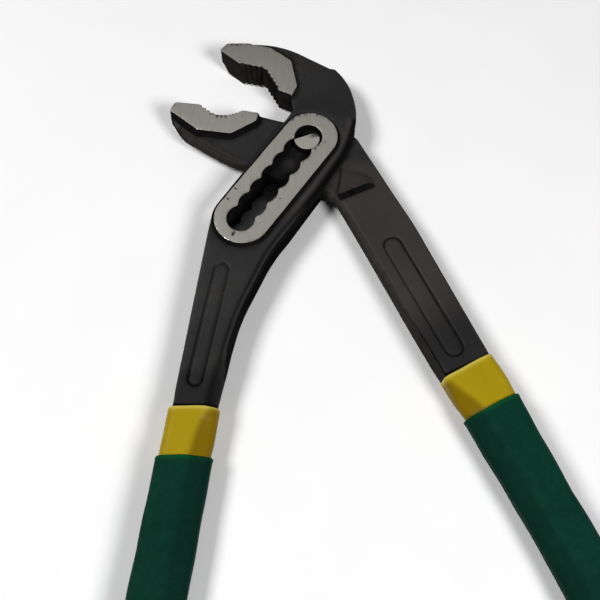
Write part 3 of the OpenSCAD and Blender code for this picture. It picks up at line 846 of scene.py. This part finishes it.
    layers = {
        # Painted light on walls and roundings.
        "painted_wall_light": side,
        # Painted light on the arm beside the box.
        "painted_light": smooth((xy[:, 0] - 4) / 8) * smooth((-6 - xy[:, 1]) / 6) * (1 - smooth((k + 32) / 24)),
        # Lighter outer edges and rims of the pad and stop: partly wear, partly painted highlight.
        "edge": np.clip(1 - d / 1.3, 0, 1) * (m > 0) + 0.8 * np.clip(1 - np.abs(e_pad) / 0.25, 0, 1) + 0.7 * np.clip(1 - np.abs(e_stop) / 0.25, 0, 1) * (rise > TONGUE + 0.3),
        # Painted shade under the lower pad's step, in the bar under the pinch stop, round the stop, in the panel
        # outline, beside the box, at the crotch edge, along the inner edge's line, on the jaw's crest, at the teeth and
        # in a line above the sleeve; one broad term only darkens the arm towards its sleeve.
        "painted_shade": np.clip(
            np.exp(-((e_pad - 0.9) / 0.8) ** 2)
            + 0.9 * np.exp(-((below - 0.75) / 0.65) ** 2) * at_bar
            + np.interp(at_left, [0, 1], [0.3, 0.6]) * np.exp(-(((e_stop - 0.4) / 0.45) ** 2)) * (rise > TONGUE + 0.2)
            + np.interp(panel_shade_weight(xy), [0, 1], [0.5, 0.7]) * np.exp(-(((capsule(xy, *R_PANEL) + 0.1) / 0.5) ** 2))
            + np.where(e_stop > 0, 0.7, 0.3) * smooth((2.0 - under) / 1.6) * (xy[:, 0] > -2) * (xy[:, 1] < 12)
            + 0.75 * smooth((1.9 - d) / 1.5) * smooth((14 - xy[:, 0]) / 6) * (xy[:, 0] > 0) * (xy[:, 1] < -14)
            + 0.85 * line
            + 0.3 * jaw * (xy[:, 1] < 8) * np.exp(-(((d - 0.9 * rw) / (0.4 * rw)) ** 2))
            + 0.6 * smooth((0.9 - d) / 0.7) * (xy[:, 1] > 6) * smooth((xy[:, 0] + 19) / 2) * smooth((-3 - xy[:, 0]) / 2) * (e_pad > 0.4)
            + 0.25 * smooth((k + 24) / 14)
            + 0.7 * smooth((k + 0.9) / 0.5),
            0,
            1,
        ),
        "pit": np.zeros(len(xy)),
    }
    return forging("inner_arm_forging", xy, tri, z, low, np.zeros(len(tri), bool), 0.2, ground, [BLACK, SILVER, SCALE_AND_SHADE], layers)


# ---------------------------------------------------------------------------
# Pin: round in the tongue, D shaped with a second short facet where it stands in a notch
def pivot_pin():
    turn = np.linspace(0, 2 * math.pi, 192, endpoint=False)
    shallow = math.radians(61.4)

    def end(z, inset=0.0, ease=0.0):
        out = np.full(len(turn), 4.42 - inset)
        for a, d in ((math.radians(110.6), 1.34), (shallow, 2.83 + ease)):
            c = np.cos(turn - a)
            out = np.where(c > 0.05, np.minimum(out, (d - inset) / np.maximum(c, 0.05)), out)
        return np.column_stack([out * np.cos(turn) - 0.52, out * np.sin(turn) - 0.78, np.full(192, z)])

    def middle(z):
        return np.column_stack([4.5 * np.cos(turn), 4.5 * np.sin(turn), np.full(192, z)])

    top_half = [end(3.0, 0, 1.5), end(5.0, 0, 1.5), end(5.45, 0, 0.7), end(5.8, 0.02, 0.1), end(5.9, 0.12)]
    rings = [ring * [1, 1, -1] for ring in top_half[::-1]] + [middle(-2.98), middle(2.98)] + top_half
    verts = np.concatenate(rings + [[[-0.52, -0.78, -5.9], [-0.52, -0.78, 5.9]]])
    n, faces, kinds = 192, [], []
    lit = np.cos(turn + math.pi / n - shallow) > 0.72
    for i in range(len(rings) - 1):
        faces += [(i * n + j, i * n + (j + 1) % n, (i + 1) * n + (j + 1) % n, (i + 1) * n + j) for j in range(n)]
        kinds += [int(lit[j] and (i < 3 or i > len(rings) - 5)) for j in range(n)]
    last, bottom, top = (len(rings) - 1) * n, len(rings) * n, len(rings) * n + 1
    caps = [(bottom, (j + 1) % n, j) for j in range(n)] + [(top, last + j, last + (j + 1) % n) for j in range(n)]
    layers = {"painted_wall_light": np.zeros(len(verts)), "painted_light": np.zeros(len(verts)), "edge": np.zeros(len(verts)), "painted_shade": np.zeros(len(verts)), "pit": np.zeros(len(verts))}
    return new_object("pivot_pin_face", verts, [np.array(faces), np.array(caps)], [SCALE_AND_SHADE, PIN_END], np.concatenate([np.array(kinds), np.ones(len(caps))]), 30, layers)


# ---------------------------------------------------------------------------
# Sleeves
def section(k, table, half, t, inner, coat, ridge):
    """Cross-section of a handle at k: [m, z] rows, starting on the inner edge and going over the top."""
    w_in, w_out = (w + coat for w in sides(table, k))
    h = t / 2 + coat
    a = np.linspace(0, 1, 65)
    a = 0.5 - 0.5 * np.cos(math.pi * a) * (0.62 + 0.38 * np.cos(math.pi * a) ** 2)
    m_in = w_in - (w_in + w_out) * a
    rounding = edge_drop(w_in - m_in, 1.3 + coat, 1.1 + coat) + edge_drop(w_out + m_in, 2.4 + coat, 2.4 + coat)
    top = np.maximum(h - rounding - inner_slope(k, w_in - m_in, half + coat, ridge), 0.3 + coat)
    side = np.linspace(1, -1, 9)[1:-1]
    rows = [np.column_stack([m_in, top]), np.column_stack([np.full(7, -w_out), top[-1] * side])]
    rows += [np.column_stack([m_in[::-1], -top[::-1]]), np.column_stack([np.full(7, w_in), -top[0] * side])]
    out = np.concatenate(rows)
    out[:, 0] *= inner
    return out


def sleeve(name, p, a, table, inner, coat_in, coat_out, k0, end, mats, wave, ridge, tilt):
    """Hollow dipped sleeve with a rolled upper lip and a rounded closed end."""
    half = table[0, 1]
    n = len(section(0, table, half, TANG_T, inner, 0, ridge))
    spread = np.linspace(0, 2 * math.pi, n, endpoint=False)
    lip = [(0.0, 0.06), (0.04, 0.40), (0.14, 0.78), (0.3, 1.0), (0.55, 1.12), (0.95, 1.10), (1.4, 1.02)]
    stations = [(k0 + dk, coat_in + (coat_out - coat_in) * s, 1.0) for dk, s in lip]
    ks = np.concatenate([np.arange(k0 + 2.0, k0 + 20, 0.6), np.arange(k0 + 20, end - 9, 1.5), [end - 9]])
    stations += [(k, coat_out, 1.0) for k in ks]
    for q in np.linspace(0.12, 1.0, 10):
        stations.append((end - 9 + 9 * math.sin(q * math.pi / 2), coat_out, max(math.cos(q * math.pi / 2), 0.0) ** 0.55))
    rings, lip_highlight_rows, slope_shade_rows = [], [], []
    for k, coat, scale in stations:
        s = section(min(k, TANG_L), table, half, TANG_T, inner, coat, ridge) * max(scale, 0.02)
        kk = np.full(n, k) + (wave(spread) + tilt * s[:, 0]) * math.exp(-max(k - k0, 0) / 25)
        swell = 1 + 0.010 * np.sin(k * 0.35 + 3 * spread) * smooth((k - k0 - 3) / 8) * (1 if coat_in > 0 else 0.2)
        rings.append((s[:, 0] * swell, kk, s[:, 1] * np.where(np.abs(s[:, 1]) > 4.5, 1, swell)))
        # Painted highlight along the rolled lip.
        lip_highlight_rows.append(np.full(n, math.exp(-((max(k - k0, 0) / 0.9) ** 2))))
        w_in = sides(table, min(k, TANG_L))[0] + coat
        # Painted shade on the inner shoulder's slope.
        slope_shade_rows.append(smooth((2 * half * np.interp(k, *ridge) - (w_in - inner * s[:, 0])) / 2.2) * smooth((k - 0.5) / 2))
    outside = len(rings)
    for k, scale in [(TANG_L + coat_in, 0.02), (TANG_L + coat_in, 0.6), (TANG_L + coat_in, 1.0)] + [(q, 1.0) for q in np.arange(TANG_L - 2, k0 + 1, -3)] + [(k0 + 0.02, 1.0)]:
        s = section(min(k, TANG_L), table, half, TANG_T, inner, coat_in + 0.015, ridge) * scale
        rings.append((s[:, 0], np.full(n, k) + (wave(spread) + tilt * s[:, 0]) * math.exp(-max(k - k0, 0) / 25), s[:, 1]))
        lip_highlight_rows.append(np.zeros(n))
        slope_shade_rows.append(np.zeros(n))
    u, v = np.array([math.cos(a), math.sin(a)]), np.array([-math.sin(a), math.cos(a)])
    verts = np.concatenate([np.column_stack([p[0] + kk * u[0] + m * v[0], p[1] + kk * u[1] + m * v[1], z]) for m, kk, z in rings])
    faces, total = [], len(rings)
    for i in range(total):
        o = (i + 1) % total
        if i == outside - 1:
            continue
        faces += [(i * n + j, o * n + j, o * n + (j + 1) % n, i * n + (j + 1) % n) for j in range(n)]
    ends = [tuple((outside - 1) * n + j for j in range(n)), tuple(outside * n + j for j in reversed(range(n)))]
    if inner * 1 > 0:
        faces = [f[::-1] for f in faces]
        ends = [e[::-1] for e in ends]
    ends = [e[::-1] for e in ends]
    tri_ends = [(e[0], e[j], e[j + 1]) for e in ends for j in range(1, n - 1)]
    return new_object(name, verts, [np.array(faces), np.array(tri_ends)], mats, np.zeros(len(faces) + len(tri_ends)), 45, {"painted_lip_highlight": np.concatenate(lip_highlight_rows), "painted_slope_shade": np.concatenate(slope_shade_rows)})


def left_wave(s):
    return 0.10 * np.sin(s + 0.6) + 0.10 * np.sin(3 * s + 1.1)


def right_wave(s):
    return 0.25 * np.sin(s + 2.2) + 0.10 * np.sin(2 * s + 0.4)


pieces = {}
pieces["slotted"] = slotted_arm()
pieces["inner"] = inner_arm()
pieces["pin"] = pivot_pin()
pieces["left_base"] = sleeve("left_base_coat", LEFT_P, LEFT_A, LEFT_SIDES, 1, 0.0, BASE_COAT, 0.9, TANG_L + 1.2, [YELLOW], left_wave, LEFT_RIDGE, -0.139)
pieces["left_grip"] = sleeve("left_grip_coat", LEFT_P, LEFT_A, LEFT_SIDES, 1, BASE_COAT, BASE_COAT + GRIP_COAT, BAND_L + 0.8, TANG_L + 4.9, [GREEN], left_wave, LEFT_RIDGE, -0.139)
pieces["right_base"] = sleeve("right_base_coat", RIGHT_P, RIGHT_A, RIGHT_SIDES, -1, 0.0, BASE_COAT, 0.0, TANG_L + 1.2, [YELLOW], right_wave, RIGHT_RIDGE, 0.0)
pieces["right_grip"] = sleeve("right_grip_coat", RIGHT_P, RIGHT_A, RIGHT_SIDES, -1, BASE_COAT, BASE_COAT + GRIP_COAT, BAND_L - 0.9, TANG_L + 4.9, [GREEN], right_wave, RIGHT_RIDGE, 0.03)

for key, body, node, slot in (
    ("slotted", "slotted_arm", "slotted_arm", "black_steel"),
    ("inner", "inner_arm", "inner_arm", "black_steel"),
    ("pin", "inner_arm", "pivot_pin", "ground_steel"),
    ("left_base", "slotted_arm", "left_sleeve_base", "yellow_dip"),
    ("left_grip", "slotted_arm", "left_grip", "green_dip"),
    ("right_base", "inner_arm", "right_sleeve_base", "yellow_dip"),
    ("right_grip", "inner_arm", "right_grip", "green_dip"),
):
    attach(pieces[key], body)
    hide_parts(node)


# ---------------------------------------------------------------------------
# Stage
def floor():
    n, size = 24, 2.4
    at = np.linspace(-size / 2, size / 2, n + 1)
    gx, gy = np.meshgrid(at, at)
    verts = np.column_stack([gx.ravel(), gy.ravel(), np.full(gx.size, -0.0003)])
    faces = [(j * (n + 1) + i, j * (n + 1) + i + 1, (j + 1) * (n + 1) + i + 1, (j + 1) * (n + 1) + i) for j in range(n) for i in range(n)]
    mesh = bpy.data.meshes.new("floor")
    mesh.from_pydata([tuple(v) for v in verts], [], faces)
    m = Nodes("pale_floor")
    grain = m.noise(m.coords(), 30, 2)
    colour = m.ramp(grain, [(0.3, (0.94, 0.94, 0.94)), (0.7, (0.96, 0.96, 0.96))])
    mesh.materials.append(m.put(Base_Color=colour, Roughness=0.9, Specular_IOR_Level=0.1))
    ob = bpy.data.objects.new("floor", mesh)
    bpy.context.scene.collection.objects.link(ob)


floor()
scene = bpy.context.scene
scene.view_settings.view_transform = "Standard"
world = bpy.data.worlds.new("studio")
scene.world = world
world.use_nodes = True
world.node_tree.nodes["Background"].inputs["Color"].default_value = (1.0, 1.0, 1.0, 1)
world.node_tree.nodes["Background"].inputs["Strength"].default_value = 0.02


def lamp(name, place, aim, size, power):
    data = bpy.data.lights.new(name, "AREA")
    data.shape = "RECTANGLE"
    data.size, data.size_y = size
    data.energy = power
    ob = bpy.data.objects.new(name, data)
    scene.collection.objects.link(ob)
    ob.location = place
    from mathutils import Vector

    ob.rotation_euler = (Vector(aim) - Vector(place)).to_track_quat("-Z", "Y").to_euler()


lamp("ceiling", (0.0, 0.50, 0.72), (0.0, 0.07, 0), (0.7, 0.34), 0.40)
lamp("left_side", (-0.613, 0.054, 0.788), (0.0, 0.0, 0), (0.30, 0.30), 6.2)
lamp("right_side", (0.516, -0.465, 0.719), (0.0, 0.0, 0), (0.32, 0.32), 6.8)

camera = bpy.data.cameras.new("camera")
camera.angle = 2 * math.atan(300 / 780)
camera.clip_start = 0.01
cam = bpy.data.objects.new("camera", camera)
scene.collection.objects.link(cam)
cam.location = (-0.02581, -0.074285, 0.23755)
cam.rotation_euler = (math.radians(23), 0, 0)
scene.camera = cam

bpy.context.view_layer.update()
